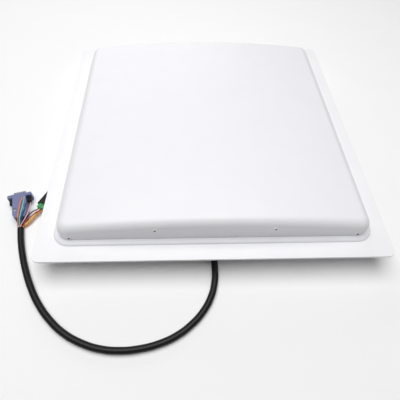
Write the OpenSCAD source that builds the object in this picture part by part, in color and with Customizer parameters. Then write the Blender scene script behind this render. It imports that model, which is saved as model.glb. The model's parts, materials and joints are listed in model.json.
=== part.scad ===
// Wide-portal reader panel: a flat antenna under a crowned white cover, with the
// reader in a box behind it and a short cable that ends in a serial plug and a
// power jack.  +Z points out of the cover, X to the right, Y away from the cable
// side.  Z = 0 is the outer face of the rear cover, on which the panel lies.
// Millimetres throughout.

/* [Base plate] */
// Width of the plate
plate_w = 450; // [400:1:560]
// Depth of the plate
plate_d = 450; // [400:1:560]
// Thickness of the plate
plate_t = 3; // [2:0.5:5]
// Corner radius of the plate
plate_r = 9; // [4:1:20]

/* [Radome] */
// Rim of bare plate from the plate's edge to the radome's wall
rim = 28.5; // [20:0.5:45]
// Wall thickness of the radome
radome_t = 3; // [2:0.5:4]
// Height of the radome's middle above the plate
radome_h = 37.5; // [34:0.5:60]
// How much lower the top lies at its left and right edges
crown_drop = 12.5; // [4:0.5:13]
// Radius between the wall and the top
edge_r = 10; // [6:0.5:12]
// Corner radius of the wall, seen from above
wall_r = 14; // [8:1:30]
// Width of the foot outside the wall
foot_w = 7.5; // [5:0.5:12]
// Height of the foot where it meets the wall
foot_h = 3; // [2:0.5:4]
// Thickness of the sealing strip under the radome
seal_t = 1; // [0.5:0.5:2]

/* [Radome screws] */
// Distance from the middle to the inner screws
screw_in_x = 74; // [50:1:90]
// Distance from the middle to the outer screws
screw_out_x = 181; // [150:1:185]
// Height of the inner screws above the plate
screw_in_z = 22.5; // [18:0.5:23]
// Height of the outer screws above the plate
screw_out_z = 7.7; // [6:0.1:10]

/* [Antenna] */
// Side of one square patch
patch_side = 142; // [120:1:150]
// Distance between patch centres
patch_pitch = 188; // [165:1:192]
// Air gap between the plate and the patches
patch_gap = 10; // [6:0.5:12]
// Thickness of the patches
patch_t = 1.5; // [1:0.5:2]

/* [Reader box] */
// Width of the reader box
box_w = 200; // [180:1:260]
// Depth of the reader box
box_d = 160; // [140:1:220]
// Height of the box from the rear face to the plate
box_h = 34; // [32:1:50]
// Wall of the box
box_t = 3; // [2.5:0.5:4]
// Corner radius of the box
box_r = 9; // [6:1:16]
// Thickness of the rear cover
cover_t = 3; // [2.5:0.5:4]
// Spacing of the four rear mounting threads
mount_pitch = 100; // [75:1:110]
// Core diameter of the M6 mounting threads
mount_core_d = 5; // [4:0.1:6]

/* [Cable] */
// Outer diameter of the cable
cable_d = 8.5; // [6:0.5:9]
// Outer diameter of one core
wire_d = 1.6; // [1.2:0.1:1.7]
// Outer diameter of the thickest core
thick_d = 2.2; // [1.6:0.1:2.3]

/* [Connectors] */
// Height of the serial plug's hood
hood_h = 15; // [15:0.5:18]
// Length of the hood behind the flange
hood_l = 40; // [38:1:50]
// Length of the square part of the power jack
jack_l = 24; // [20:1:30]
// Width of the power jack
jack_w = 14; // [13:0.5:18]

/* [Hidden] */
// Clearance between parts that are screwed or set together
fit = 0.2;
// Clearance of a screw's thread in its hole, and of a shaft that turns
run = 0.05;

// Levels, from the rear face up
seal_z = cover_t;
box_z = cover_t + seal_t;
plate_z = box_h;
top_z = plate_z + plate_t;
patch_z = top_z + patch_gap;

// Half sizes of the radome's wall
wall_x = plate_w / 2 - rim;
wall_y = plate_d / 2 - rim;

// Countersunk M3 screw
m3_r = 1.5;
m3_hole_r = 1.7;
m3_head_r = 2.8;
m3_head_h = 1.6;

// Tabs that hold the radome's screws
tab_w = 16;
tab_t = 2;
tab_foot = 14;
tab_over = 2.7;
rivet_r = 2;

// Bosses and screws of the reader box
boss_r = 5;
boss_in = 7.5;
boss_mid_x = 45;
m4_r = 2;
floor_t = 2.5;

// Reader board, its feet and what stands on it
board_w = 150;
board_d = 110;
board_t = 1.6;
foot_len = 6;
board_z = box_h - floor_t - foot_len - board_t;
pad_t = 1;

// Radio feed-through
feed_x = 40;
feed_r = 3.2;
feed_board_t = 1.6;
feed_bar = 24;
probe_in = 35;

// Cable gland, on the near wall
gland_z = 19;
gland_r = 8;
gland_hex = 22;
gland_flange = 5;
gland_dome = 15;
gland_y = -box_d / 2;

// The serial plug lies turned on the surface; its origin is its flange
plug_at = [-275, -106, 0];
plug_turn = 14;
flange_w = 30.8;
flange_h = 12.6;
flange_t = 1;
bar_w = 33;
bar_l = 3.6;
lip_l = 1.4;
hood_w = 18.6;
tail_w = 14;
tail_y = -34;
hood_wall = 1.6;
lock_x = 12.5;
lock_r = 1.35;
lock_neck_r = 1.1;
lock_head_r = 2.9;
lock_head_l = 8;
hood_screw_x = 6.4;
hood_screw_y = -26.5;
plug_mid = hood_h / 2;

// The power jack lies half under the plate's left edge
jack_at = [-240.5, -122.8, 0];
jack_turn = -26.5;
jack_h = 12.5;
nose_r = 5.5;
nose_l = 16;
socket_r = 3.15;
socket_l = 12;
pin_r = 1.05;
block_w = 9.4;
block_l = 7;
block_h = 7;
block_out = 4.5;
block_z = 4;
wire_z = 6.5;
clamp_x = 2.5;
clamp_r = 1.45;

// Route of the cable: out of the gland, down to the surface, out under the near
// edge and round to the left in one open loop
CABLE = [
    [0, -74, 19], [0, -90, 19], [0, -104, 19], [0, -118, 18.4], [0, -134, 14.6],
    [0, -150, 9.4], [0, -166, 5.6], [0, -184, 4.25], [1, -202, 4.25], [1.5, -220, 4.25],
    [0, -240, 4.25], [-6, -260, 4.25], [-16, -277, 4.25], [-30, -292, 4.25],
    [-48, -305, 4.25], [-69, -314, 4.25], [-91, -319, 4.25], [-114, -320.5, 4.25],
    [-137, -318, 4.25], [-159, -311, 4.25], [-180, -300, 4.25], [-199, -284.5, 4.25],
    [-216, -265.5, 4.25], [-230.5, -243.5, 4.25], [-242, -221, 4.25],
    [-251.5, -198.5, 4.25], [-259, -176, 4.25], [-264, -157, 4.25]
];
// Routes of the cores, from the jacket's cut end to where each one ends
SALMON = [[-266.6, -157.6, 5.8], [-267.1, -155.8, 5.8], [-266.9, -152.8, 9],
    [-266.2, -148.4, 14.2], [-266.2, -144, 17.1], [-267.4, -135, 16.4], [-268.4, -122, 16.2],
    [-267.7, -112.7, 16.2]];
CYAN = [[-265, -157.1, 7.3], [-265.2, -155.9, 7.6], [-264.1, -152, 11.2],
    [-263.7, -147.6, 15.3], [-263.6, -142, 16.8], [-264.1, -131, 15.9], [-264.7, -121.5, 15.9],
    [-265.7, -111.5, 15.9]];
TEAL = [[-265.2, -157.2, 4.2], [-265.6, -155.9, 4.4], [-264, -152, 8],
    [-261.8, -147.4, 13.3], [-261.2, -142.8, 16.7], [-260.6, -133, 15.9],
    [-261.6, -122.5, 15.9]];
PINK = [[-263.2, -156.7, 7.3], [-263.5, -155.3, 7.3], [-260.6, -149.6, 9.8],
    [-257.4, -143.2, 12], [-256.2, -136, 12.2], [-255.8, -128, 12.2], [-256.4, -118.5, 11]];
BROWN = [[-266.9, -157.7, 3.1], [-267.3, -156.3, 3.1], [-269.4, -152, 3.4], [-268.8, -145, 5],
    [-269.5, -136, 6.2], [-273.4, -121, 6.6]];
BLACK_A = [[-265.6, -157.3, 1.5], [-265.9, -155.9, 1.5], [-266.2, -151, 4.6],
    [-266.4, -145, 7], [-266.6, -136, 7.9], [-271, -119, 8.2]];
BLACK_B = [[-263.5, -156.8, 1.1], [-263.8, -155.4, 1.1], [-264.2, -151, 2.4],
    [-263.6, -145, 4.6], [-264.6, -138, 5], [-268.4, -119, 5]];
BLACK_C = [[-263.4, -156.7, 5.3], [-263.8, -155.2, 5.2], [-261.8, -151.4, 6.4],
    [-259.8, -146.8, 7.8], [-255.1, -137.9, 9], [-250.8, -131.2, 8.4], [-246.3, -126.6, 6.5],
    [-244.8, -123.5, 6.5]];
WHITE = [[-263.4, -156.7, 3.2], [-263.7, -155.4, 3.2], [-261.2, -151.7, 4],
    [-259.4, -146.4, 5.2], [-254.4, -139.5, 6.4], [-249.6, -133, 7.2], [-244.7, -127.4, 6.5],
    [-242.9, -123.8, 6.5]];
CRIMSON = [[-261.6, -156.3, 6.2], [-261.9, -154.9, 6.2], [-259.6, -152.8, 7.3],
    [-258.2, -148.2, 8.1], [-254.5, -142.9, 8.4], [-250.8, -138.1, 8.3], [-246.3, -132.6, 7.5],
    [-241.8, -128.9, 6.5], [-240, -125.3, 6.5]];
YELLOW = [[-260.9, -156.1, 4.2], [-261.2, -154.7, 4.2], [-257.8, -151.4, 5.8],
    [-254.8, -146.7, 6.3], [-251.3, -141.3, 6.3], [-247.6, -135.3, 5.8], [-245.1, -130.9, 5.3]];
ORANGE = [[-261.6, -156.3, 2.2], [-262, -154.9, 2.2], [-257, -151.8, 3.4],
    [-252.5, -146.3, 4.4], [-248.2, -139.6, 5], [-244.4, -133.7, 5.8], [-240.1, -129.7, 6.5],
    [-238.4, -126.1, 6.5]];
INNER = [[-1.8, -74, 21], [-1.8, -66, 20], [-3.8, -60, 18], [-3.8, -52, 17.4]];
PIGTAIL = [[40, 0, 26.2], [39.7, 0.6, 23.4], [36.5, 4, 20.8], [29, 9, 19.6],
    [15, 13.5, 19.6], [0.2, 16, 20]];

// ---------- shared shapes ----------

// Flat rectangle with round corners, centred
module round_rect(w, d, r) {
    square([w - 2 * r, d], center = true);
    square([w, d - 2 * r], center = true);
    for (x = [-1, 1], y = [-1, 1])
        translate([x * (w / 2 - r), y * (d / 2 - r)]) circle(r, $fn = 64);
}

// Slab with round corners, its underside at z
module slab(w, d, r, z, h) {
    translate([0, 0, z]) linear_extrude(h) round_rect(w, d, r);
}

// Upright rod, its foot at the point p
module rod(p, r, h) {
    translate(p) cylinder(r = r, h = h, $fn = 48);
}

// Rod along +Y, its near end at the point p
module rod_y(p, r, l) {
    translate(p) rotate([-90, 0, 0]) cylinder(r = r, h = l, $fn = 48);
}

// Box with its near lower left corner at the point p
module brick(p, s) {
    translate(p) cube(s);
}

// Countersunk screw with a cross recess: head face at z = 0, shank along -Z
module csk_screw(r, head_r, head_h, l) {
    difference() {
        union() {
            translate([0, 0, -head_h]) cylinder(r1 = r, r2 = head_r, h = head_h, $fn = 48);
            translate([0, 0, -l]) cylinder(r = r, h = l - head_h, $fn = 48);
        }
        cross_recess(head_r * 0.6, head_h * 0.8);
    }
}

// Pan-head screw with a cross recess: seat at z = 0, shank along -Z
module pan_screw(r, l) {
    difference() {
        union() {
            cylinder(r = 1.9 * r, h = 1.2 * r, $fn = 48);
            translate([0, 0, -l]) cylinder(r = r, h = l, $fn = 48);
        }
        translate([0, 0, 1.2 * r]) cross_recess(1.1 * r, 0.8 * r);
    }
}

module cross_recess(half, depth) {
    for (a = [0, 90])
        rotate(a) translate([-half, -half * 0.22, -depth])
            cube([2 * half, half * 0.44, depth + 1]);
}

// Unit vector, and the direction of a route at point i
function unit(v) = v / norm(v);
function along(route, i) = unit(
    route[min(i + 1, len(route) - 1)] - route[max(i - 1, 0)]);

// Tube of n sides swept along a route that never runs the way of the level line
module tube(route, d, n, level = [0, 0, 1]) {
    rings = [for (i = [0 : len(route) - 1])
        let (t = along(route, i), s = unit(cross(t, level)), u = cross(s, t))
        for (k = [0 : n - 1])
            route[i] + d / 2 * (cos(360 * k / n) * s + sin(360 * k / n) * u)];
    last = (len(route) - 1) * n;
    sides = [for (i = [0 : len(route) - 2], k = [0 : n - 1])
        let (a = i * n + k, b = i * n + (k + 1) % n)
        each [[a, b, b + n], [a, b + n, a + n]]];
    polyhedron(rings, concat([[for (k = [n - 1 : -1 : 0]) k]], sides,
        [[for (k = [0 : n - 1]) last + k]]));
}

// ---------- panel ----------

// Places of the eight radome screws: side of the panel, x and height above the plate
function screw_places() = [for (side = [-1, 1], x = [-1, 1])
    each [[side, x * screw_in_x, screw_in_z], [side, x * screw_out_x, screw_out_z]]];
// Middle of a tab's foot, along Y from the panel's middle
tab_mid_y = wall_y - radome_t - fit - tab_t - tab_foot / 2;
// Middle of a tab whose screw is at x: the tab ends where the corner begins
function tab_mid_x(x) = sign(x) * min(abs(x), wall_x - wall_r + 1.2 - tab_w / 2);

module tab_spots() {
    for (s = screw_places())
        translate([tab_mid_x(s[1]), s[0] * tab_mid_y, 0]) children();
}

module boss_spots(mid) {
    for (x = [-1, 1], y = [-1, 1]) {
        translate([x * (box_w / 2 - boss_in), y * (box_d / 2 - boss_in), 0]) children();
        if (mid) translate([x * boss_mid_x, y * (box_d / 2 - boss_in), 0]) children();
    }
}

module patch_spots() {
    for (x = [-1, 1], y = [-1, 1])
        translate([x * patch_pitch / 2, y * patch_pitch / 2, 0]) children();
}

module base_plate() {
    color("white") difference() {
        slab(plate_w, plate_d, plate_r, plate_z, plate_t);
        tab_spots() rod([0, 0, plate_z - 1], rivet_r + fit / 2, plate_t + 2);
        boss_spots(false) rod([0, 0, plate_z - 1], m4_r + fit, plate_t + 2);
        rod([feed_x, 0, plate_z - 1], feed_r + run, plate_t + 2);
    }
}

// Height of the crowned top above the plate, at x
function crown(x) = radome_h - crown_drop * pow(x / wall_x, 2);

// One closed ring of the radome: inset from the wall, then a height that is
// level (lift = 0) or follows the crown (lift = 1)
arc_n = 6;
side_n = 14;
function ring_point(x, y, lift, z) = [x, y, top_z + z + lift * crown(x)];
function ring(inset, lift, z) =
    let (r = max(wall_r - inset, 0.5), hx = wall_x - inset, hy = wall_y - inset,
         cx = hx - r, cy = hy - r)
    concat(
        [for (k = [0 : arc_n]) let (a = -90 + 90 * k / arc_n)
            ring_point(cx + r * cos(a), -cy + r * sin(a), lift, z)],
        [for (k = [0 : arc_n]) let (a = 90 * k / arc_n)
            ring_point(cx + r * cos(a), cy + r * sin(a), lift, z)],
        [for (k = [1 : side_n - 1]) ring_point(cx * (1 - 2 * k / side_n), hy, lift, z)],
        [for (k = [0 : arc_n]) let (a = 90 + 90 * k / arc_n)
            ring_point(-cx + r * cos(a), cy + r * sin(a), lift, z)],
        [for (k = [0 : arc_n]) let (a = 180 + 90 * k / arc_n)
            ring_point(-cx + r * cos(a), -cy + r * sin(a), lift, z)],
        [for (k = [1 : side_n - 1]) ring_point(cx * (2 * k / side_n - 1), -hy, lift, z)]);

// The fillet between wall and top, for a surface that lies t inside the wall
function fillet_ring(t, a) =
    ring(t + (edge_r - t) * (1 - cos(a)), 1, -t - (edge_r - t) * (1 - sin(a)));

// The top is closed by strips that run from the near side to the far side
ring_n = 4 * (arc_n + 1) + 2 * (side_n - 1);
strip_n = 2 * arc_n + side_n;
function near_i(j) = (arc_n - j + ring_n) % ring_n;
function far_i(j) = arc_n + 1 + j;

module radome_shell() {
    rings = concat(
        [for (a = [90 : -22.5 : 0]) fillet_ring(radome_t, a)],
        [ring(radome_t, 0, seal_t), ring(3 - foot_w, 0, seal_t), ring(3 - foot_w, 0, 0),
         ring(-foot_w, 0, 0), ring(0.4 - foot_w, 0, 0.7), ring(1.5 - foot_w, 0, 1.5),
         ring(3.5 - foot_w, 0, foot_h - 0.8), ring(0, 0, foot_h)],
        [for (a = [0 : 15 : 90]) fillet_ring(0, a)]);
    n = ring_n;
    last = (len(rings) - 1) * n;
    polyhedron([for (r = rings) each r], concat(
        [for (j = [0 : strip_n - 1]) [near_i(j), far_i(j), far_i(j + 1), near_i(j + 1)]],
        [for (i = [0 : len(rings) - 2], k = [0 : n - 1])
            [i * n + k, (i + 1) * n + k, (i + 1) * n + (k + 1) % n, i * n + (k + 1) % n]],
        [for (j = [0 : strip_n - 1])
            [last + near_i(j), last + near_i(j + 1), last + far_i(j + 1), last + far_i(j)]]));
}

module radome() {
    color("white") difference() {
        radome_shell();
        for (s = screw_places())
            translate([s[1], s[0] * wall_y, top_z + s[2]]) rotate([-90 * s[0], 0, 0]) {
                translate([0, 0, -radome_t - 1])
                    cylinder(r = m3_hole_r, h = radome_t + 2, $fn = 12);
                translate([0, 0, -m3_head_h])
                    cylinder(r1 = m3_r + fit, r2 = m3_head_r + fit, h = m3_head_h, $fn = 12);
                translate([0, 0, -0.01])
                    cylinder(r = m3_head_r + fit, h = 1, $fn = 12);
            }
    }
}

module radome_gasket() {
    outer = foot_w - 3 - fit;
    inner = radome_t;
    color("dimgray") translate([0, 0, top_z]) linear_extrude(seal_t) difference() {
        round_rect(2 * (wall_x + outer), 2 * (wall_y + outer), wall_r + outer);
        round_rect(2 * (wall_x - inner), 2 * (wall_y - inner), wall_r - inner);
    }
}

module radome_tabs() {
    color("silver") for (s = screw_places())
        translate([tab_mid_x(s[1]), 0, top_z]) rotate(s[0] > 0 ? 180 : 0)
            translate([0, -(wall_y - radome_t - fit), 0]) difference() {
                union() {
                    brick([-tab_w / 2, 0, 0], [tab_w, tab_t, s[2] + tab_over]);
                    brick([-tab_w / 2, 0, 0], [tab_w, tab_t + tab_foot, tab_t]);
                }
                rod_y([-s[0] * (s[1] - tab_mid_x(s[1])), -1, s[2]], m3_r + run, tab_t + 2);
                rod([0, tab_t + tab_foot / 2, -1], rivet_r + fit / 2, tab_t + 2);
            }
}

module tab_rivets() {
    color("silver") tab_spots() {
        rod([0, 0, plate_z], rivet_r, plate_t + tab_t);
        rod([0, 0, top_z + tab_t], 1.8 * rivet_r, 1.1);
        rod([0, 0, plate_z - 1.8], 1.5 * rivet_r, 1.8);
    }
}

module radome_screws() {
    color("gainsboro") for (s = screw_places())
        translate([s[1], s[0] * wall_y, top_z + s[2]]) rotate([-90 * s[0], 0, 0])
            csk_screw(m3_r, m3_head_r, m3_head_h, 7);
}

// ---------- antenna ----------

module patch(x, y) {
    cut = 22;
    h = patch_side / 2;
    color("lightgray") translate([x * patch_pitch / 2, y * patch_pitch / 2, 0]) difference() {
        translate([0, 0, patch_z]) linear_extrude(patch_t)
            polygon([[-h + cut, -h], [h, -h], [h, h - cut], [h - cut, h], [-h, h], [-h, -h + cut]]);
        rod([0, 0, patch_z - 1], 2 + run, patch_t + 2);
    }
}

module patch_1() { patch(-1, -1); }
module patch_2() { patch(1, -1); }
module patch_3() { patch(-1, 1); }
module patch_4() { patch(1, 1); }

// Central posts, swaged over the patches
module patch_posts() {
    color("silver") patch_spots() {
        rod([0, 0, top_z], 5, patch_gap);
        rod([0, 0, patch_z], 2, patch_t);
        rod([0, 0, patch_z + patch_t], 3, 0.8);
    }
}

module patch_spacers() {
    reach = patch_side / 2 - 16;
    color("ivory") patch_spots() for (x = [-1, 1], y = [-1, 1])
        rod([x * reach, y * reach, top_z], 4, patch_gap);
}

module feed_board() {
    half = patch_pitch / 2;
    end = half - probe_in + 6;
    color("seagreen") difference() {
        union() {
            for (x = [-1, 1])
                brick([x * half - feed_bar / 2, -end, top_z], [feed_bar, 2 * end, feed_board_t]);
            brick([-half, -feed_bar / 2, top_z], [2 * half, feed_bar, feed_board_t]);
        }
        for (x = [-1, 1], y = [-1, 1])
            rod([x * half, y * (half - probe_in), top_z - 1], 1.5 + run, feed_board_t + 2);
        rod([feed_x, 0, top_z - 1], feed_r + run, feed_board_t + 2);
    }
}

module feed_probes() {
    half = patch_pitch / 2;
    color("goldenrod") for (x = [-1, 1], y = [-1, 1])
        rod([x * half, y * (half - probe_in), top_z], 1.5, patch_gap);
}

module rf_bulkhead() {
    color("goldenrod") {
        rod([feed_x, 0, box_h - floor_t - 5], feed_r, floor_t + 5 + plate_t + feed_board_t);
        rod([feed_x, 0, box_h - floor_t - 3], 5, 3);
    }
}

module rf_pigtail() {
    color("saddlebrown") tube(PIGTAIL, 2.6, 8, [0, 1, 0]);
}

// ---------- reader box ----------

module box_outline(inset) {
    round_rect(box_w - 2 * inset, box_d - 2 * inset, box_r - inset);
}

module reader_housing() {
    depth = box_h - box_z;
    color("whitesmoke") difference() {
        union() {
            difference() {
                slab(box_w, box_d, box_r, box_z, depth);
                translate([0, 0, box_z - 1]) linear_extrude(depth - floor_t + 1)
                    box_outline(box_t);
            }
            intersection() {
                boss_spots(true) rod([0, 0, box_z], boss_r, depth);
                slab(box_w, box_d, box_r, box_z, depth);
            }
            brick([-42, 8, board_z + board_t + pad_t], [25, 25, foot_len - pad_t + floor_t / 2]);
        }
        boss_spots(true) rod([0, 0, box_z - 1], m3_r + run, 11);
        boss_spots(false) rod([0, 0, box_h - 12], m4_r + run, 13);
        rod([feed_x, 0, box_h - floor_t - 1], feed_r + run, floor_t + 2);
        rod_y([0, gland_y - 1, gland_z], gland_r + fit, box_t + 2);
    }
}

module housing_screws() {
    color("silver") boss_spots(false) translate([0, 0, top_z]) pan_screw(m4_r, plate_t + 10);
}

module cover_gasket() {
    color("dimgray") translate([0, 0, seal_z]) linear_extrude(seal_t) difference() {
        union() {
            difference() {
                box_outline(fit);
                box_outline(box_t + 1);
            }
            intersection() {
                boss_spots(true) circle(boss_r, $fn = 48);
                box_outline(fit);
            }
        }
        boss_spots(true) circle(m3_hole_r, $fn = 48);
    }
}

module insert_spots() {
    for (x = [-1, 1], y = [-1, 1])
        translate([x * mount_pitch / 2, y * mount_pitch / 2, 0]) children();
}

insert_shank_r = 4.35;

module rear_cover() {
    color("whitesmoke") difference() {
        slab(box_w, box_d, box_r, 0, cover_t);
        insert_spots() rod([0, 0, -1], insert_shank_r, cover_t + 2);
        boss_spots(true) {
            rod([0, 0, -1], m3_hole_r, cover_t + 2);
            cylinder(r1 = m3_head_r + fit, r2 = m3_r + fit, h = m3_head_h, $fn = 48);
            rod([0, 0, -1], m3_head_r + fit, 1);
        }
    }
}

// Press-in nuts: a shank in the cover and a wider body inside the box
module rear_inserts() {
    color("silver") insert_spots() difference() {
        union() {
            rod([0, 0, 0], insert_shank_r, cover_t);
            rod([0, 0, cover_t], 5.5, 5);
        }
        rod([0, 0, -1], mount_core_d / 2, cover_t + 7);
    }
}

module cover_screws() {
    color("silver") boss_spots(true) rotate([180, 0, 0])
        csk_screw(m3_r, m3_head_r, m3_head_h, cover_t + seal_t + 8);
}

// ---------- reader electronics ----------

module board_spots() {
    for (x = [-1, 1], y = [-1, 1])
        translate([x * (board_w / 2 - 5), y * (board_d / 2 - 5), 0]) children();
}

module reader_board() {
    color("darkgreen") difference() {
        brick([-board_w / 2, -board_d / 2, board_z], [board_w, board_d, board_t]);
        board_spots() rod([0, 0, board_z - 1], m3_hole_r, board_t + 2);
        rod([feed_x, 0, board_z - 1], 6, board_t + 2);
    }
}

module board_standoffs() {
    color("gold") board_spots() difference() {
        rod([0, 0, board_z + board_t], 3, foot_len);
        rod([0, 0, board_z + board_t - 1], m3_r + run, foot_len);
    }
}

module board_screws() {
    color("silver") board_spots() translate([0, 0, board_z]) rotate([180, 0, 0])
        pan_screw(m3_r, board_t + 4);
}

module shield_can() {
    wall = 0.5;
    size = [60, 45, 7];
    color("silver") translate([-60, -2, board_z - size[2]]) difference() {
        cube(size);
        translate([wall, wall, wall]) cube([size[0] - 2 * wall, size[1] - 2 * wall, size[2]]);
    }
}

// Two chips, a relay, a buzzer and two capacitors, all soldered under the board
module board_parts() {
    color("black") {
        brick([-40, 12, board_z - 2], [12, 12, 2]);
        brick([20, -30, board_z - 1.6], [14, 14, 1.6]);
        brick([45, -45, board_z - 12], [19, 15, 12]);
        rod([58, 32, board_z - 9], 6, 9);
        for (y = [-10, 2]) rod([58, y, board_z - 11], 4, 11);
    }
}

module heat_pad() {
    color("lightpink") brick([-42, 8, board_z + board_t], [25, 25, pad_t]);
}

module board_header() {
    color("ivory") difference() {
        brick([-8, -52, board_z - 9], [16, 7, 9]);
        brick([-7, -53, board_z - 8], [14, 7, 6.5]);
    }
}

module header_plug() {
    color("white") brick([-7 + fit, -52, board_z - 8 + fit], [14 - 2 * fit, 5.8, 6.1]);
}

module inner_wires() {
    color("firebrick") for (k = [0 : 3])
        tube([for (p = INNER) p + [1.25 * k * (p[1] > -61 ? 2 : 1), 0, 0]], 1.2, 8);
}

// ---------- cable gland ----------

module hex_y(p, af, l) {
    translate(p) rotate([-90, 0, 0])
        cylinder(r = af / 2 / cos(30), h = l, $fn = 6);
}

gland_bore = cable_d / 2 + 0.15;

module gland_o_ring() {
    color("black") difference() {
        rod_y([0, gland_y - 1.5, gland_z], gland_r + 2, 1.5);
        rod_y([0, gland_y - 2, gland_z], gland_r + run, 3);
    }
}

module gland_body() {
    seat = gland_y - 1.5;
    color("dimgray") difference() {
        union() {
            hex_y([0, seat - gland_flange, gland_z], gland_hex, gland_flange);
            rod_y([0, seat - 1, gland_z], gland_r, box_t + 1.5 + 8);
            rod_y([0, seat - gland_flange - 8, gland_z], gland_r - 0.6, 9);
        }
        rod_y([0, seat - 20, gland_z], gland_bore, 40);
    }
}

module gland_lock_nut() {
    color("dimgray") difference() {
        hex_y([0, gland_y + box_t, gland_z], gland_hex, 4.5);
        rod_y([0, gland_y, gland_z], gland_r + run, 10);
    }
}

module gland_seal() {
    face = gland_y - 1.5 - gland_flange - 8;
    color("black") difference() {
        rod_y([0, face - 4, gland_z], gland_r - 1, 4);
        rod_y([0, face - 5, gland_z], gland_bore, 6);
    }
}

module gland_dome_nut() {
    near = gland_y - 1.5 - gland_flange;
    color("dimgray") difference() {
        intersection() {
            hex_y([0, near - gland_dome, gland_z], gland_hex, gland_dome);
            translate([0, near, gland_z]) rotate([90, 0, 0]) rotate_extrude($fn = 64)
                polygon([[0, 0], [12.9, 0], [12.9, 7.5], [12, 10.5], [10.2, 13], [7.6, 15], [0, 15]]);
        }
        rod_y([0, near - gland_dome - 1, gland_z], gland_bore + 0.4, gland_dome + 2);
        rod_y([0, near - 12.3, gland_z], gland_r - 0.6 + run, 13);
    }
}

// ---------- cable and cores ----------

module data_cable() {
    color("#1c1c1e") tube(CABLE, cable_d, 10);
}

module wire_salmon() { color("#e8875f") tube(SALMON, thick_d, 8); }
module wire_cyan() { color("#7fd3e0") tube(CYAN, wire_d, 8); }
module wire_teal() { color("#1f5d78") tube(TEAL, wire_d, 8); }
module wire_pink() { color("#e8b0c8") tube(PINK, wire_d, 8); }
module wires_black() { color("#201a1c") for (r = [BLACK_A, BLACK_B, BLACK_C]) tube(r, wire_d, 8); }
module wire_brown() { color("#6b2a22") tube(BROWN, wire_d, 8); }
module wire_crimson() { color("#b03040") tube(CRIMSON, wire_d, 8); }
module wire_white() { color("#f4e8d8") tube(WHITE, wire_d, 8); }
module wire_yellow() { color("#f5d040") tube(YELLOW, wire_d, 8); }
module wire_orange() { color("#e8922f") tube(ORANGE, wire_d, 8); }

// ---------- serial plug ----------

module at_plug() {
    translate(plug_at) rotate(plug_turn) children();
}

// Outline of the D: wider above than below
module d_outline(grow) {
    polygon([[-7.6 - grow, 2.9 + grow], [7.6 + grow, 2.9 + grow],
        [6.6 + grow, -2.9 - grow], [-6.6 - grow, -2.9 - grow]]);
}

module d_prism(y, l, grow) {
    translate([0, y + l, plug_mid]) rotate([90, 0, 0]) linear_extrude(l) d_outline(grow);
}

// Places of the nine contacts, five above four
function contact_places() = concat(
    [for (k = [-2 : 2]) [2.77 * k, 1.42]],
    [for (k = [-1.5 : 1.5]) [2.77 * k, -1.42]]);

module hood_outline(inset) {
    tail = tail_w / 2 - inset;
    body = hood_w / 2 - inset;
    polygon([[-tail, inset - hood_l], [tail, inset - hood_l], [body, tail_y], [body, -inset],
        [-body, -inset], [-body, tail_y]]);
}

// Whole hood before it is split into halves at its middle height
module hood_solid() {
    difference() {
        union() {
            linear_extrude(hood_h) hood_outline(0);
            brick([-bar_w / 2, -bar_l, 0], [bar_w, bar_l + lip_l, hood_h]);
        }
        translate([0, 0, hood_wall]) linear_extrude(hood_h - 2 * hood_wall)
            hood_outline(hood_wall);
        brick([-flange_w / 2 - fit / 2, -fit / 2, plug_mid - flange_h / 2 - fit / 2],
            [flange_w + fit, flange_t + fit, flange_h + fit]);
        brick([-8.4, -3, plug_mid - 4.4], [16.8, 4, 8.8]);
        d_prism(0, lip_l + 1, 1.1);
        brick([-5, -hood_l - 1, plug_mid - 4.5], [10, hood_wall + 2, 9]);
        for (x = [-lock_x, lock_x]) {
            rod_y([x, -bar_l - 1, plug_mid], lock_neck_r + run, bar_l + 1.5);
            rod_y([x, 0, plug_mid], lock_r + fit, lip_l + 1);
        }
        for (x = [-hood_screw_x, hood_screw_x]) {
            rod([x, hood_screw_y, 2], 0.9 + run, hood_h);
            rod([x, hood_screw_y, hood_h - 1.7], 2.4, 3);
        }
    }
}

// Posts that take the hood's two screws, standing on the walls
module hood_posts() {
    difference() {
        for (x = [-hood_screw_x, hood_screw_x])
            intersection() {
                rod([x, hood_screw_y, hood_wall / 2], 2.6, hood_h - hood_wall);
                linear_extrude(hood_h) hood_outline(hood_wall / 2);
            }
        for (x = [-hood_screw_x, hood_screw_x]) {
            rod([x, hood_screw_y, 2], 0.9 + run, hood_h);
            rod([x, hood_screw_y, hood_h - 1.7], 2.4, 3);
        }
    }
}

module hood_half(z) {
    at_plug() intersection() {
        union() {
            hood_solid();
            hood_posts();
        }
        translate([-30, -hood_l - 5, z]) cube([60, hood_l + 15, plug_mid]);
    }
}

module serial_hood_lower() { color("#757ba0") hood_half(0); }
module serial_hood_upper() { color("#757ba0") hood_half(plug_mid); }

module hood_screws() {
    color("silver") at_plug() for (x = [-hood_screw_x, hood_screw_x])
        translate([x, hood_screw_y, hood_h - 1.7]) difference() {
            union() {
                cylinder(r = 2.2, h = 1.6, $fn = 48);
                translate([0, 0, -9]) cylinder(r = 0.9, h = 9, $fn = 48);
            }
            translate([0, 0, 1.6]) cross_recess(1.1, 0.8);
        }
}

module serial_shell() {
    color("#b9bccb") at_plug() difference() {
        union() {
            brick([-flange_w / 2, 0, plug_mid - flange_h / 2], [flange_w, flange_t, flange_h]);
            d_prism(flange_t, 6, 0.8);
        }
        d_prism(-1, 9, 0.3);
        for (x = [-lock_x, lock_x]) rod_y([x, -1, plug_mid], lock_r + fit, 3);
    }
}

module serial_insulator() {
    color("#20222a") at_plug() difference() {
        union() {
            d_prism(0, 6.6, 0.3 - run);
            brick([-8.2, -2.9, plug_mid - 4.2], [16.4, 2.9, 8.4]);
        }
        for (c = contact_places()) rod_y([c[0], -4, plug_mid + c[1]], 0.9, 11);
    }
}

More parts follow.
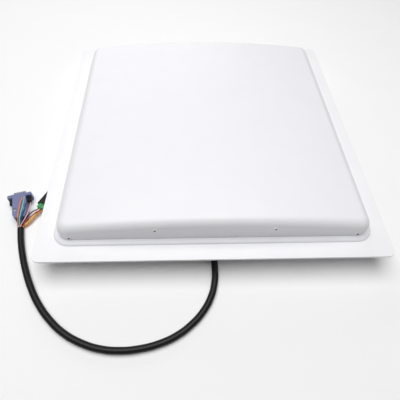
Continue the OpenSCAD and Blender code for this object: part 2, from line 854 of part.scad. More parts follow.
module serial_contacts() {
    color("gold") at_plug() for (c = contact_places()) difference() {
        rod_y([c[0], -7, plug_mid + c[1]], 0.85, 13);
        rod_y([c[0], 1, plug_mid + c[1]], 0.55, 6);
    }
}

// Slotted thumb screw, held by its thin neck between the hood's halves
module jackscrew(side) {
    x = side * lock_x;
    color("silver") at_plug() difference() {
        union() {
            rod_y([x, -bar_l - fit - lock_head_l, plug_mid], lock_head_r, lock_head_l);
            rod_y([x, -bar_l - fit, plug_mid], lock_neck_r, bar_l + 2 * fit);
            rod_y([x, fit, plug_mid], lock_r, 7);
        }
        brick([x - 0.4, -bar_l - fit - lock_head_l - 1, plug_mid - 3], [0.8, 2.2, 6]);
    }
}

module jackscrew_left() { jackscrew(-1); }
module jackscrew_right() { jackscrew(1); }

// ---------- power jack ----------

module at_jack() {
    translate(jack_at) rotate(jack_turn) children();
}

module jack_body() {
    far = jack_l + nose_l;
    color("#2a2024") at_jack() difference() {
        union() {
            brick([-jack_w / 2, 0, 0], [jack_w, jack_l, jack_h]);
            brick([1 - jack_w / 2, -block_out, 0], [jack_w - 2, block_out + 1, block_z - fit / 2]);
            rod_y([0, jack_l, jack_h / 2], nose_r, nose_l);
        }
        brick([-block_w / 2 - fit / 2, -block_out - 1, block_z - fit / 2],
            [block_w + fit, block_l + 1 + fit / 2, jack_h]);
        rod_y([0, far - socket_l, jack_h / 2], socket_r, socket_l + 1);
        rod_y([0, far - socket_l - 5, jack_h / 2], pin_r, 6);
    }
}

module jack_contacts() {
    far = jack_l + nose_l;
    color("silver") at_jack() {
        rod_y([0, far - socket_l - 5, jack_h / 2], pin_r, socket_l + 4);
    }
}

module clamp_spots() {
    for (x = [-clamp_x, clamp_x]) translate([x, -1.5, 0]) children();
}

module terminal_block() {
    color("#1fa04a") at_jack() difference() {
        brick([-block_w / 2, -block_out, block_z], [block_w, block_l, block_h]);
        for (x = [-clamp_x, clamp_x])
            brick([x - 1.8, -block_out - 1, wire_z - 1.5], [3.6, 6, 3]);
        clamp_spots() rod([0, 0, wire_z], clamp_r + run, block_h);
    }
}

module clamp_screw(x) {
    top = block_z + block_h - 0.6;
    color("silver") at_jack() translate([x, -1.5, 0]) difference() {
        rod([0, 0, wire_z + 1.5], clamp_r, top - wire_z - 1.5);
        brick([-2, -0.25, top - 0.7], [4, 0.5, 2]);
    }
}

module terminal_screw_a() { clamp_screw(-clamp_x); }
module terminal_screw_b() { clamp_screw(clamp_x); }

base_plate();
radome();
radome_gasket();
radome_tabs();
tab_rivets();
radome_screws();
patch_1();
patch_2();
patch_3();
patch_4();
patch_posts();
patch_spacers();
feed_board();
feed_probes();
rf_bulkhead();
rf_pigtail();
reader_housing();
housing_screws();
cover_gasket();
rear_cover();
rear_inserts();
cover_screws();
reader_board();
board_standoffs();
board_screws();
shield_can();
board_parts();
heat_pad();
board_header();
header_plug();
inner_wires();
gland_o_ring();
gland_body();
gland_lock_nut();
gland_seal();
gland_dome_nut();
data_cable();
wire_salmon();
wire_cyan();
wire_teal();
wire_pink();
wires_black();
wire_brown();
wire_crimson();
wire_white();
wire_yellow();
wire_orange();
serial_hood_lower();
serial_hood_upper();
hood_screws();
serial_shell();
serial_insulator();
serial_contacts();
jackscrew_left();
jackscrew_right();
jack_body();
jack_contacts();
terminal_block();
terminal_screw_a();
terminal_screw_b();
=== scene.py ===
import json
import math

import bmesh
import bpy
from mathutils import Matrix, Vector


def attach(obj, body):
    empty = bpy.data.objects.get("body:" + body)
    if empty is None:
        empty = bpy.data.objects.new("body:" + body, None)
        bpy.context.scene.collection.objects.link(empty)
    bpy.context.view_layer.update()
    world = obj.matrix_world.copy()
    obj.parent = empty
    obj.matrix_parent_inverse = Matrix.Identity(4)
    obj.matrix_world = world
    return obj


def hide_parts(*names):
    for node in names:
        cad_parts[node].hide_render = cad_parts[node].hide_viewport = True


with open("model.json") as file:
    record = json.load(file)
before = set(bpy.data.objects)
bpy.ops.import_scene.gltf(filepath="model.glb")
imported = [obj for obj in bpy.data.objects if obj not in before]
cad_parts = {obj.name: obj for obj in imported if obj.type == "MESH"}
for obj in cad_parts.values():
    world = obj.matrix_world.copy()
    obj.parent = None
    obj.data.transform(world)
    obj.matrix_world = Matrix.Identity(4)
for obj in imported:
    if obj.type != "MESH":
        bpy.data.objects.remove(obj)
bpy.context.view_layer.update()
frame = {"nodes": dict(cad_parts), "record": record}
scene = bpy.context.scene

# ---------------------------------------------------------------- camera
# Stands in front of the near edge, a little to the left, and looks down at the panel
# with a slight roll.


def unit(azimuth, elevation):
    a, e = math.radians(azimuth), math.radians(elevation)
    return Vector((math.sin(a) * math.cos(e), -math.cos(a) * math.cos(e), math.sin(e)))


camera_roll = 1.4407
bpy.ops.object.camera_add(location=(-0.0454, -0.4162, 0.4320))
camera = bpy.context.object
camera.name = "camera"
back = unit(-2.6367, 54.5825)
right = (-back).cross(Vector((0, 0, 1))).normalized()
right = Matrix.Rotation(math.radians(camera_roll), 3, back) @ right
up = back.cross(right)
camera.rotation_euler = Matrix((right, up, back)).transposed().to_euler()
camera.data.sensor_width = 36
camera.data.lens = 31.98
camera.data.shift_x = 0.0313
scene.camera = camera

# ---------------------------------------------------------------- cable and cores
# Round cable with an extruded black PVC jacket, 8.5 mm thick, and the twelve PVC-covered
# cores that fan out of its cut end.  It leaves the gland, drops to the table and curves
# round to the near left corner.  Routes are in millimetres.

per_m = 1000  # millimetres in a metre
routes = {
    "data_cable": [
        (0, -74, 19), (0, -90, 19), (0, -104, 19), (0, -118, 18.4), (0, -134, 14.6),
        (0, -150, 9.4), (0, -166, 5.6), (0, -184, 4.25), (1, -202, 4.25), (1.5, -220, 4.25),
        (0, -240, 4.25), (-6, -260, 4.25), (-16, -277, 4.25), (-30, -292, 4.25),
        (-48, -305, 4.25), (-69, -314, 4.25), (-91, -319, 4.25), (-114, -320.5, 4.25),
        (-137, -318, 4.25), (-159, -311, 4.25), (-180, -300, 4.25), (-199, -284.5, 4.25),
        (-216, -265.5, 4.25), (-230.5, -243.5, 4.25), (-242, -221, 4.25),
        (-251.5, -198.5, 4.25), (-259, -176, 4.25), (-264, -157, 4.25),
    ],
    "wire_salmon": [
        (-266.6, -157.6, 5.8), (-267.1, -155.8, 5.8), (-266.9, -152.8, 9),
        (-266.2, -148.4, 14.2), (-266.2, -144, 17.1), (-267.4, -135, 16.4),
        (-268.4, -122, 16.2), (-267.7, -112.7, 16.2),
    ],
    "wire_cyan": [
        (-265, -157.1, 7.3), (-265.2, -155.9, 7.6), (-264.1, -152, 11.2),
        (-263.7, -147.6, 15.3), (-263.6, -142, 16.8), (-264.1, -131, 15.9),
        (-264.7, -121.5, 15.9), (-265.7, -111.5, 15.9),
    ],
    "wire_teal": [
        (-265.2, -157.2, 4.2), (-265.6, -155.9, 4.4), (-264, -152, 8),
        (-261.8, -147.4, 13.3), (-261.2, -142.8, 16.7), (-260.6, -133, 15.9),
        (-261.6, -122.5, 15.9),
    ],
    "wire_pink": [
        (-263.2, -156.7, 7.3), (-263.5, -155.3, 7.3), (-260.6, -149.6, 9.8),
        (-257.4, -143.2, 12), (-256.2, -136, 12.2), (-255.8, -128, 12.2),
        (-256.4, -118.5, 11),
    ],
    "wire_brown": [
        (-266.9, -157.7, 3.1), (-267.3, -156.3, 3.1), (-269.4, -152, 3.4),
        (-268.8, -145, 5), (-269.5, -136, 6.2), (-273.4, -121, 6.6),
    ],
    "wire_black_a": [
        (-265.6, -157.3, 1.5), (-265.9, -155.9, 1.5), (-266.2, -151, 4.6),
        (-266.4, -145, 7), (-266.6, -136, 7.9), (-271, -119, 8.2),
    ],
    "wire_black_b": [
        (-263.5, -156.8, 1.1), (-263.8, -155.4, 1.1), (-264.2, -151, 2.4),
        (-263.6, -145, 4.6), (-264.6, -138, 5), (-268.4, -119, 5),
    ],
    "wire_black_c": [
        (-263.4, -156.7, 5.3), (-263.8, -155.2, 5.2), (-261.8, -151.4, 6.4),
        (-259.8, -146.8, 7.8), (-255.1, -137.9, 9), (-250.8, -131.2, 8.4),
        (-246.3, -126.6, 6.5), (-244.8, -123.5, 6.5),
    ],
    "wire_crimson": [
        (-261.6, -156.3, 6.2), (-261.9, -154.9, 6.2), (-259.6, -152.8, 7.3),
        (-258.2, -148.2, 8.1), (-254.5, -142.9, 8.4), (-250.8, -138.1, 8.3),
        (-246.3, -132.6, 7.5), (-241.8, -128.9, 6.5), (-240, -125.3, 6.5),
    ],
    "wire_white": [
        (-263.4, -156.7, 3.2), (-263.7, -155.4, 3.2), (-261.2, -151.7, 4),
        (-259.4, -146.4, 5.2), (-254.4, -139.5, 6.4), (-249.6, -133, 7.2),
        (-244.7, -127.4, 6.5), (-242.9, -123.8, 6.5),
    ],
    "wire_yellow": [
        (-260.9, -156.1, 4.2), (-261.2, -154.7, 4.2), (-257.8, -151.4, 5.8),
        (-254.8, -146.7, 6.3), (-251.3, -141.3, 6.3), (-247.6, -135.3, 5.8),
        (-245.1, -130.9, 5.3),
    ],
    "wire_orange": [
        (-261.6, -156.3, 2.2), (-262, -154.9, 2.2), (-257, -151.8, 3.4),
        (-252.5, -146.3, 4.4), (-248.2, -139.6, 5), (-244.4, -133.7, 5.8),
        (-240.1, -129.7, 6.5), (-238.4, -126.1, 6.5),
    ],
}


def srgb(text):
    """A colour as six hex digits, turned to linear light."""
    parts = [int(text[i:i + 2], 16) / 255 for i in (1, 3, 5)]
    return tuple(
        p / 12.92 if p <= 0.04045 else ((p + 0.055) / 1.055) ** 2.4 for p in parts
    ) + (1.0,)


def add(tree, kind, settings=None, links=None):
    """Adds a node, with values for its inputs or properties, and links into it."""
    node = tree.nodes.new(kind)
    for key_name, value in (settings or {}).items():
        if key_name in node.inputs:
            node.inputs[key_name].default_value = value
        else:
            setattr(node, key_name, value)
    for socket, source in (links or {}).items():
        tree.links.new(source, node.inputs[socket])
    return node


looks = {}


def finish(key, name, dark, light, rough, grain, depth, metal=0.0, gloss=0.5, stretch=(1, 1, 1)):
    """A surface whose colour drifts between two close shades over some twenty grains,
    with a raised grain of the given size and depth in millimetres."""
    made = bpy.data.materials.new(name)
    made.use_nodes = True
    tree = made.node_tree
    shader = tree.nodes["Principled BSDF"]
    place = add(tree, "ShaderNodeTexCoord")
    mapped = add(
        tree, "ShaderNodeMapping", {"Scale": stretch}, {"Vector": place.outputs["Object"]}
    )
    cloud = add(
        tree, "ShaderNodeTexNoise", {"Scale": 1 / (20 * grain / per_m), "Detail": 3.0},
        {"Vector": mapped.outputs[0]},
    )
    fine = add(
        tree, "ShaderNodeTexNoise", {"Scale": 1 / (grain / per_m), "Detail": 2.0},
        {"Vector": mapped.outputs[0]},
    )
    mix = add(tree, "ShaderNodeMix", {"data_type": "RGBA"}, {"Factor": cloud.outputs[0]})
    mix.inputs[6].default_value = srgb(dark)
    mix.inputs[7].default_value = srgb(light)
    tree.links.new(mix.outputs[2], shader.inputs["Base Color"])
    polish = add(
        tree, "ShaderNodeMapRange",
        {"To Min": max(rough - 0.05, 0.04), "To Max": rough + 0.05},
        {"Value": fine.outputs[0]},
    )
    tree.links.new(polish.outputs[0], shader.inputs["Roughness"])
    raised = add(
        tree, "ShaderNodeBump", {"Strength": 1.0, "Distance": depth / per_m},
        {"Height": fine.outputs[0]},
    )
    tree.links.new(raised.outputs[0], shader.inputs["Normal"])
    shader.inputs["Metallic"].default_value = metal
    shader.inputs["Specular IOR Level"].default_value = gloss
    looks[key] = made


# Extruded PVC: smooth, near black, with one dull long highlight.
finish("cable_jacket", "black_pvc", "#0e0d0f", "#161416", 0.42, 0.9, 0.02, gloss=0.3)

# The cores' PVC is brighter and a little glossier, each in its own plain colour.
core_colours = {
    "salmon": ("#e0805a", "#ec936e"), "cyan": ("#74cad8", "#8adae6"),
    "teal": ("#1a5570", "#256681"), "pink": ("#e2a8c1", "#eebbd0"),
    "black": ("#1c171a", "#262023"), "brown": ("#62261f", "#732f27"),
    "crimson": ("#a62a3a", "#ba3848"), "white": ("#efe2d1", "#f8eedf"),
    "yellow": ("#efc938", "#f8d84c"), "orange": ("#e0882a", "#ec9838"),
}
for colour, (dark, light) in core_colours.items():
    finish("wire_" + colour, colour + "_pvc", dark, light, 0.38, 0.4, 0.008)

core_d = 1.6
thick = {"data_cable": 8.5, "wire_salmon": 2.2}
for name, route in routes.items():
    diameter = thick.get(name, core_d) / per_m
    curve = bpy.data.curves.new(name + "_line", "CURVE")
    curve.dimensions = "3D"
    curve.resolution_u = 8
    curve.bevel_depth = diameter / 2
    curve.bevel_resolution = 6 if name == "data_cable" else 3
    curve.use_fill_caps = True
    spline = curve.splines.new("BEZIER")
    spline.bezier_points.add(len(route) - 1)
    for point, place in zip(spline.bezier_points, route):
        point.co = Vector(place) / per_m
        point.handle_left_type = "AUTO"
        point.handle_right_type = "AUTO"
    cord = bpy.data.objects.new(name + "_cord", curve)
    scene.collection.objects.link(cord)

    # the three black cores share one slot, and one of them stands for their CAD node
    slot = "cable_jacket" if name == "data_cable" else "_".join(name.split("_")[:2])
    curve.materials.append(looks[slot])
    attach(cord, "panel")
    if name == "wire_black_a":
        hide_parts("wires_black")
    elif name not in ("wire_black_b", "wire_black_c"):
        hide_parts(name)

# ---------------------------------------------------------------- light and floor
# Pale paper floor under a wide soft light overhead, a weaker one behind, and a dim
# white room.


def softbox(name, place, wide, deep, power):
    bpy.ops.object.light_add(type="AREA", location=place)
    lamp = bpy.context.object
    lamp.name = name
    lamp.data.shape = "RECTANGLE"
    lamp.data.size = wide
    lamp.data.size_y = deep
    lamp.data.energy = power
    lamp.rotation_euler = (-lamp.location).to_track_quat("-Z", "Y").to_euler()


# Uncoated white paper: flat, with hardly any highlight.
finish("floor", "floor_paper", "#fbfbfb", "#fdfdfd", 0.9, 4, 0.02)

bpy.ops.mesh.primitive_plane_add(size=12, location=(0, 0, -0.0002))
floor = bpy.context.object
floor.name = "floor"
floor.data.materials.append(looks["floor"])
softbox("overhead_light", (-0.15, 0.0, 2.0), 2.0, 2.0, 46)
softbox("rear_light", (-0.5, 2.1, 0.9), 2.0, 1.0, 10)

world = bpy.data.worlds.new("room")
scene.world = world
world.use_nodes = True
world.node_tree.nodes["Background"].inputs[0].default_value = (1, 1, 1, 1)
world.node_tree.nodes["Background"].inputs[1].default_value = 0.05
scene.view_settings.view_transform = "Standard"

# ---------------------------------------------------------------- base plate
# Square sheet of aluminium with round corners, powder coated white.  It carries the
# cover on top and the reader box below.  Cut from flat sheet, its rims broken.


def alone(obj):
    """Leaves edit mode, with one object selected and active."""
    if bpy.context.mode != "OBJECT":
        bpy.ops.object.mode_set(mode="OBJECT")
    bpy.ops.object.select_all(action="DESELECT")
    obj.select_set(True)
    bpy.context.view_layer.objects.active = obj


def edit(obj):
    alone(obj)
    bpy.ops.object.mode_set(mode="EDIT")


def lay(obj, spot, turn=(0, 0, 0)):
    """Turns an object by degrees, sets it down in millimetres and applies both."""
    alone(obj)
    obj.rotation_euler = [math.radians(angle) for angle in turn]
    obj.location = [length / per_m for length in spot]
    bpy.ops.object.transform_apply()


def start(name, kind, **settings):
    """A primitive, left in edit mode with all of it selected."""
    if bpy.context.mode != "OBJECT":
        bpy.ops.object.mode_set(mode="OBJECT")
    bpy.ops.object.select_all(action="DESELECT")
    getattr(bpy.ops.mesh, "primitive_" + kind + "_add")(**settings)
    made = bpy.context.object
    made.name = name
    bpy.ops.object.transform_apply()
    bpy.ops.object.mode_set(mode="EDIT")
    bpy.ops.mesh.select_all(action="SELECT")
    return made


def box(name, low, high):
    """A box between two corners, in edit mode."""
    low, high = Vector(low) / per_m, Vector(high) / per_m
    made = start(name, "cube", size=1)
    bpy.ops.transform.resize(value=high - low)
    bpy.ops.transform.translate(value=(low + high) / 2)
    return made


def rod(name, radius, low, high, sides=32):
    """A cylinder that stands on the origin's axis between two heights, in edit mode."""
    made = start(
        name, "cylinder", vertices=sides, radius=radius / per_m, depth=(high - low) / per_m)
    bpy.ops.transform.translate(value=(0, 0, (low + high) / 2 / per_m))
    return made


def pick(obj, kind, test):
    """Selects the vertices, edges or faces that pass a test."""
    bpy.ops.mesh.select_mode(type=kind)
    bpy.ops.mesh.select_all(action="DESELECT")
    shape = bmesh.from_edit_mesh(obj.data)
    for part in {"VERT": shape.verts, "EDGE": shape.edges, "FACE": shape.faces}[kind]:
        part.select_set(bool(test(part)))
    shape.select_flush_mode()
    bmesh.update_edit_mesh(obj.data)


def ends(edge):
    return [v.co * per_m for v in edge.verts]


def middle(face):
    return face.calc_center_median() * per_m


def upright(edge):
    a, b = ends(edge)
    return abs(a.x - b.x) < 0.01 and abs(a.y - b.y) < 0.01


def folded(edge, angle=50):
    return len(edge.link_faces) == 2 and edge.calc_face_angle(0) > math.radians(angle)


def lowest(edge):
    return min(point.z for point in ends(edge))


def bevel(width, steps):
    bpy.ops.mesh.bevel(offset=width / per_m, segments=steps, affect="EDGES")


def extrude(x, y, z):
    bpy.ops.mesh.extrude_region_move(
        TRANSFORM_OT_translate={"value": (x / per_m, y / per_m, z / per_m)})


def slice_at(normal, height):
    """Cuts the whole mesh by a plane across one axis, at a height along that axis."""
    bpy.ops.mesh.select_all(action="SELECT")
    bpy.ops.mesh.bisect(plane_co=[axis * height / per_m for axis in normal], plane_no=normal)


def apply(obj, kind, **settings):
    """Adds a modifier and applies it at once."""
    alone(obj)
    added = obj.modifiers.new(kind.lower(), kind)
    for key_name, value in settings.items():
        setattr(added, key_name, value)
    bpy.ops.object.modifier_apply(modifier=added.name)


def done(obj, look, replaced=(), turn=None, body="panel"):
    """Closes a piece: set down, shaded, with its look and its body."""
    if bpy.context.mode == "OBJECT":
        edit(obj)
    bpy.ops.mesh.select_all(action="SELECT")
    bpy.ops.mesh.normals_make_consistent(inside=False)
    bpy.ops.object.mode_set(mode="OBJECT")
    if turn:
        place, angle = turn
        obj.location = Vector(place) / per_m
        obj.rotation_euler = (0, 0, math.radians(angle))
    bpy.ops.object.transform_apply()
    bpy.ops.object.shade_smooth_by_angle(angle=math.radians(35))
    apply(obj, "WEIGHTED_NORMAL", keep_sharp=True)
    obj.data.materials.clear()
    obj.data.materials.append(looks[look])
    if replaced:
        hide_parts(*replaced)
    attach(obj, body)


# Satin powder coat: white, with a soft sheen and a fine orange-peel grain.
finish("white_plate", "white_powder_coat", "#f3f3f6", "#f8f8fa", 0.5, 1.2, 0.02)

plate_half, plate_low, plate_top = 225, 34, 37
plate = box(
    "plate", (-plate_half, -plate_half, plate_low), (plate_half, plate_half, plate_top))
pick(plate, "EDGE", upright)
bevel(9, 8)
pick(plate, "EDGE", folded)
bevel(0.5, 2)
done(plate, "white_plate", ["base_plate"])

# ---------------------------------------------------------------- radome
# Crowned cover of smooth white plastic, taken to be moulded ABS: upright walls, a round
# rim, a top that falls to the left and right, and a low round foot.  Its near and far
# walls have seats for the screws.

# Moulded ABS: smoother and a little glossier than the plate's coat.
finish("white_cover", "white_cover_plastic", "#f2f2f6", "#f6f6f9", 0.42, 1.6, 0.01)

wall_half = 196.5
wall_low = 38
edge_high = 25
crown_high = 37.5


def crown(x):
    """Height of the top above the plate."""
    return crown_high - (crown_high - edge_high) * (x / wall_half) ** 2


rim_z = plate_top + edge_high
radome = box(
    "radome_cover", (-wall_half, -wall_half, wall_low), (wall_half, wall_half, rim_z))
pick(radome, "EDGE", upright)
bevel(14, 8)
pick(radome, "EDGE", lambda e: folded(e) and lowest(e) > rim_z - 0.1)
bevel(12, 8)

# the flat top is sliced from left to right, and each column is lifted to the crown
slices = 28
for k in range(1, slices):
    slice_at((1, 0, 0), wall_half * (2 * k / slices - 1))
columns = {round(v.co.x, 5) for v in bmesh.from_edit_mesh(radome.data).verts}
for x in sorted(columns):
    pick(radome, "VERT", lambda v: abs(v.co.x - x) < 0.000006 and v.co.z > 0.05)
    bpy.ops.transform.translate(value=(0, 0, (crown(x * per_m) - edge_high) / per_m))
pick(radome, "FACE", lambda f: f.normal.z < -0.5 and middle(f).z < wall_low + 0.5)
bpy.ops.mesh.delete(type="FACE")
apply(radome, "SOLIDIFY", thickness=3 / per_m, offset=-1, use_even_offset=True)

# the foot: a rounded slab, flattened to 3 mm, with its middle taken out
foot_half = 204
foot = box(
    "foot_slab", (-foot_half, -foot_half, plate_top), (foot_half, foot_half, plate_top + 7.5))
pick(foot, "EDGE", upright)
bevel(21.5, 8)
pick(foot, "EDGE", lambda e: folded(e) and lowest(e) > plate_top + 7)
bevel(7.3, 6)
bpy.ops.mesh.select_all(action="SELECT")
bpy.ops.transform.resize(value=(1, 1, 0.4), center_override=(0, 0, plate_top / per_m))
pick(foot, "FACE", lambda f: abs(f.normal.z) > 0.99)
bpy.ops.mesh.inset(thickness=6 / per_m)
bpy.ops.mesh.delete(type="FACE")
pick(foot, "EDGE", lambda e: e.is_boundary)
bpy.ops.mesh.bridge_edge_loops()


def cut(obj, tool, way="DIFFERENCE"):
    """Cuts an object with another, which is then thrown away."""
    apply(obj, "BOOLEAN", object=tool, operation=way, solver="EXACT")
    bpy.data.objects.remove(tool)


seats = [
    (side, x, z)
    for side in (-1, 1)
    for x, z in ((-181, 44.7), (-74, 59.5), (74, 59.5), (181, 44.7))
]
for side, x, z in seats:
    cutter = start(
        "cutter", "cone", vertices=40, radius1=1.9 / per_m, radius2=3.2 / per_m, depth=2.2 / per_m)
    lay(cutter, (x, side * (wall_half - 0.6), z), (-side * 90, 0, 0))
    cut(radome, cutter)
alone(radome)
foot.select_set(True)
bpy.ops.object.join()
done(radome, "white_cover", ["radome"])

# ---------------------------------------------------------------- radome screws
# Eight steel screws with domed heads, drawn in a pale coat that is painted reflection, each with a
# black disc in its socket that is painted shade.
# They hold the cover to the tabs on the plate, four in the near wall and four in the far.


def copies(first, spots, turns):
    """Copies a finished mesh, then moves the first one and each copy to its place."""
    made = [first]
    for number in range(2, len(spots) + 1):
        twin = bpy.data.objects.new(first.name + "_" + str(number), first.data.copy())
        scene.collection.objects.link(twin)
        made.append(twin)
    for each, spot, turn in zip(made, spots, turns):
        each.data.transform(Matrix.Translation(Vector(spot) / per_m) @ turn.to_4x4())
        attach(each, "panel")


# Painted reflection on the heads: the zinc is drawn as a nearly white, non-metal coat that stands
# in for its bright reflection, with a small real highlight on the dome. It is made as a pale coat,
# because a bare metal here only mirrors the dim room and looks black.
finish("bright_heads", "pale_coat_painted_reflection", "#f8f8fa", "#fdfdfe", 0.35, 0.6, 0.01)
# Black moulded plastic: a dull, slightly warm black.
finish("black_parts", "black_plastic", "#1c181b", "#262126", 0.4, 0.7, 0.02, gloss=0.3)

screw = rod("radome_screw", 2.9, -1.2, 1.2)
pick(screw, "EDGE", lambda e: folded(e) and lowest(e) > 1.1)
bevel(1.3, 5)
bpy.ops.mesh.select_all(action="SELECT")
bpy.ops.mesh.normals_make_consistent(inside=False)
alone(screw)
bpy.ops.object.shade_smooth_by_angle(angle=math.radians(35))
screw.data.materials.append(looks["bright_heads"])
# The socket: a black disc set into the head's top, painted shade that stands in for the dark of
# the recess.
socket = rod("painted_shade_socket", 1.4, 0.45, 1.25, sides=24)
alone(socket)
socket.data.materials.append(looks["black_parts"])
turns = [Matrix.Rotation(-side * math.pi / 2, 3, "X") for side, x, z in seats]
spots = [(x, side * (wall_half - 0.4), z) for side, x, z in seats]
copies(screw, spots, turns)
copies(socket, spots, turns)
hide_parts("radome_screws")

# ---------------------------------------------------------------- reader box
# Aluminium box behind the plate, powder coated light grey, with round corners.  It is
# open at its back, where the rear cover closes it.

# The box's coat is greyer than the plate's and has a coarser grain.
finish("grey_box", "grey_powder_coat", "#dcdde1", "#e6e7ea", 0.5, 1.2, 0.03)

housing = box("reader_box", (-100, -80, 4), (100, 80, plate_low))
pick(housing, "EDGE", upright)
bevel(9, 8)
pick(housing, "EDGE", lambda e: folded(e) and lowest(e) > plate_low - 1)
bevel(1.5, 4)
pick(housing, "FACE", lambda f: f.normal.z < -0.9)
bpy.ops.mesh.delete(type="FACE")
apply(housing, "SOLIDIFY", thickness=2.5 / per_m, offset=-1, use_even_offset=True)
done(housing, "grey_box", ["reader_housing"])

# ---------------------------------------------------------------- cable gland
# Dome nut of dark grey nylon, moulded with six flats and a nose that draws in round the
# cable.  It screws on the gland's body and squeezes the seal.

# Moulded nylon: matt, with a slight grain.
finish("gland_nylon", "grey_nylon", "#36383c", "#424449", 0.55, 0.8, 0.02)

dome = rod("gland_nut", 12.7, 0, 15, sides=6)
pick(dome, "FACE", lambda f: f.normal.z > 0.9)
bpy.ops.mesh.inset(thickness=4.2 / per_m)
cutter = start(
    "cutter", "cone", vertices=48, radius1=20 / per_m, radius2=7.2 / per_m, depth=12.8 / per_m)
bpy.ops.transform.translate(value=(0, 0, 8.9 / per_m))
cut(dome, cutter, "INTERSECT")
cut(dome, rod("cutter", 4.6, -20, 20))
lay(dome, (0, -86.5, 19), (90, 0, 0))
edit(dome)
pick(dome, "EDGE", lambda e: folded(e, 25))
bevel(0.4, 2)
done(dome, "gland_nylon", ["gland_dome_nut"])

# ---------------------------------------------------------------- serial plug's hood
# Two moulded blue-grey halves, taken to be ABS, that meet at a seam: a body with ears for
# the thumb screws, and a tail that narrows to the mouth for the cores.

# Moulded ABS in blue-grey: satin, with a faint grain.
finish("hood_blue", "blue_grey_hood", "#70779c", "#7a80a8", 0.5, 0.6, 0.02)

plug_angle = 14
plug = ((-275, -106, 0), plug_angle)
hood_half, hood_high, tail_start, hood_end = 9.3, 15, -34, -40
hood_screw_x, hood_screw_y = 6.4, -26.5
seam = hood_high / 2
hood = box("serial_hood", (-hood_half, tail_start, 0), (hood_half, 1.4, hood_high))

# ears, a little lower than the body, then the tail
slice_at((0, 1, 0), -3.6)
for z in (0.75, 14.25):
    slice_at((0, 0, 1), z)
for side in (-1, 1):
    pick(
        hood, "FACE",
        lambda f: f.normal.x * side > 0.9 and middle(f).y > -3.5
        and abs(middle(f).z - seam) < 1)
    extrude(side * 7.2, 0, 0)
pick(hood, "FACE", lambda f: f.normal.y < -0.9 and middle(f).y < tail_start + 1)
extrude(0, hood_end - tail_start, 0)
bpy.ops.transform.resize(
    value=(7 / hood_half, 1, 1), center_override=(0, hood_end / per_m, seam / per_m))

# seats for the two screws, and the mouth
for x in (-hood_screw_x, hood_screw_x):
    cutter = rod("cutter", 2.5, -1.7, 1.7)
    bpy.ops.transform.translate(
        value=(x / per_m, hood_screw_y / per_m, hood_high / per_m))
    cut(hood, cutter)
cut(hood, box("cutter", (-5, -42, 3), (5, -24, 12)))
edit(hood)
pick(
    hood, "EDGE",
    lambda e: folded(e) and e.calc_length() > 1.2 / per_m
    and not all(abs(p.x) < 5.1 and 2.9 < p.z < 12.1 for p in ends(e)))
bpy.ops.mesh.bevel(offset=0.7 / per_m, segments=3, affect="EDGES", clamp_overlap=True)

# the seam, a groove 0.3 mm wide and deep
for z in (seam - 0.15, seam + 0.15):
    slice_at((0, 0, 1), z)
pick(hood, "FACE", lambda f: abs(middle(f).z - seam) < 0.1)
bpy.ops.mesh.inset(thickness=0.02 / per_m, depth=-0.3 / per_m)
done(hood, "hood_blue", ["serial_hood_lower", "serial_hood_upper"], turn=plug)

# ---------------------------------------------------------------- hood screws
# Two small steel screws with rounded heads and a cross recess, sunk in the hood's top.
# They clamp its halves together.

# Zinc-plated steel: bright, slightly bluish, with soft reflections.
finish("steel_screws", "zinc_steel", "#bdbec4", "#d6d7db", 0.3, 0.6, 0.01, metal=1.0)

head = rod("hood_screw", 2.1, -0.75, 0.75, sides=40)
pick(head, "EDGE", lambda e: folded(e) and lowest(e) > 0.7)
bevel(0.5, 4)
for angle in (35, 125):
    cutter = box("cutter", (-1.2, -0.25, -0.1), (1.2, 0.25, 2))
    lay(cutter, (0, 0, 0), (0, 0, angle))
    cut(head, cutter)
done(head, "steel_screws", ["hood_screws"])
turn = Matrix.Rotation(math.radians(plug_angle), 3, "Z")
spots = [
    turn @ Vector((x, hood_screw_y, hood_high - 1)) + Vector(plug[0])
    for x in (-hood_screw_x, hood_screw_x)
]
copies(head, spots, [turn, turn])

# ---------------------------------------------------------------- thumb screws
# Black moulded knobs with a slotted end, each on a steel stem that turns in the hood's
# ear.  They fix the plug to its socket.

for side, body in ((-1, "jackscrew_left"), (1, "jackscrew_right")):
    x = side * 12.5
    knob = rod(body + "_knob", 2.9, -4, 4, sides=48)
    lay(knob, (x, -7.8, seam), (90, 0, 0))
    edit(knob)
    pick(knob, "EDGE", folded)
    bevel(0.4, 3)
    cut(knob, box("cutter", (x - 0.4, -13, 3), (x + 0.4, -10.6, 12)))
    done(knob, "black_parts", [body], turn=plug, body=body)
    stem = rod(body + "_stem", 1.2, -5.25, 5.25, sides=24)
    lay(stem, (x, 1.4, seam), (90, 0, 0))
    edit(stem)
    pick(stem, "EDGE", folded)
    bevel(0.2, 2)
    done(stem, "steel_screws", turn=plug, body=body)

# ---------------------------------------------------------------- power jack
# Black moulded case with a pocket for the terminal block, a low tray under the block,
# and a round nose with the bore for a power plug.

jack = ((-240.5, -122.8, 0), -26.5)
jack_long, jack_high = 24, 12.5
case = box("jack_case", (-7, 0, 0), (7, jack_long, jack_high))
pick(case, "EDGE", folded)
bevel(0.6, 3)
cut(case, box("cutter", (-4.8, -1, 3.9), (4.8, 2.6, 14)))
done(case, "black_parts", ["jack_body"], turn=jack)

tray = box("jack_tray", (-6, -4.5, 0), (6, 0.3, 3.9))
pick(tray, "EDGE", folded)
bevel(0.5, 3)
done(tray, "black_parts", turn=jack)

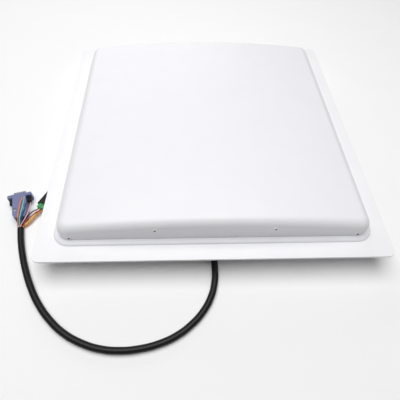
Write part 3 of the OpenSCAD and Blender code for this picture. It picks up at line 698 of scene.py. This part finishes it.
nose_r, bore_r = 5.5, 3.15
nose = rod("jack_nose", nose_r, jack_long - 0.5, jack_long + 16, sides=48)
pick(nose, "FACE", lambda f: f.normal.z > 0.9)
bpy.ops.mesh.inset(thickness=(nose_r - bore_r) / per_m)
extrude(0, 0, -12)
pick(nose, "EDGE", folded)
bevel(0.5, 3)
lay(nose, (0, 0, jack_high / 2), (-90, 0, 0))
done(nose, "black_parts", turn=jack)

# ---------------------------------------------------------------- pieces kept from CAD
# The antenna under the cover, the reader in its box, the gland's body and the metal and
# contacts of the connectors.  Their CAD shape is the finished one, and each has the
# finish of its slot.

# Cellular rubber: dull and dark.
finish("sealing_rubber", "grey_rubber", "#343437", "#3e3e42", 0.75, 1, 0.03)
# Rolled sheet: soft reflections drawn out along the rolling.
finish(
    "bright_aluminium", "rolled_aluminium", "#b4b6b9", "#cacccf", 0.36, 0.8, 0.01, metal=1.0,
    stretch=(1, 8, 1))
# Bare brass, nylon as moulded, and a circuit board under green solder mask.
finish("brass_posts", "plain_brass", "#b8913c", "#cfab55", 0.32, 0.8, 0.01, metal=1.0)
finish("nylon", "natural_nylon", "#e2dccb", "#ede8da", 0.5, 0.8, 0.02)
finish("circuit_board", "green_board", "#1a5133", "#236243", 0.35, 0.6, 0.01)
# Extruded jackets of the thin inner leads, and the soft heat pad.
finish("coax_jacket", "brown_jacket", "#6e4326", "#7d5030", 0.35, 0.6, 0.01)
finish("red_wire", "red_pvc", "#9c2b2b", "#b03838", 0.4, 0.5, 0.01)
finish("heat_pad", "pink_pad", "#cc93a4", "#dba6b6", 0.8, 1, 0.03)
# Bright plating on the can, nickel on the plug's shell, and tinned copper.
finish("tin_plate", "bright_plating", "#b6b8be", "#cfd1d6", 0.25, 0.5, 0.006, metal=1.0)
finish("nickel_shell", "nickel_plating", "#a9adbd", "#c3c6d3", 0.3, 0.5, 0.008, metal=1.0)
finish("copper_tip", "tinned_copper", "#b89b88", "#d2bba8", 0.35, 0.3, 0.01, metal=1.0)
# Green moulded plastic of the terminal block.
finish("green_block", "green_terminal", "#168f41", "#22a552", 0.4, 0.6, 0.02)

slots = {row["node"]: row["material_slot"] for row in frame["record"]["subparts"]}
for name, node_object in frame["nodes"].items():
    node_object.data.materials.clear()
    node_object.data.materials.append(looks[slots[name]])
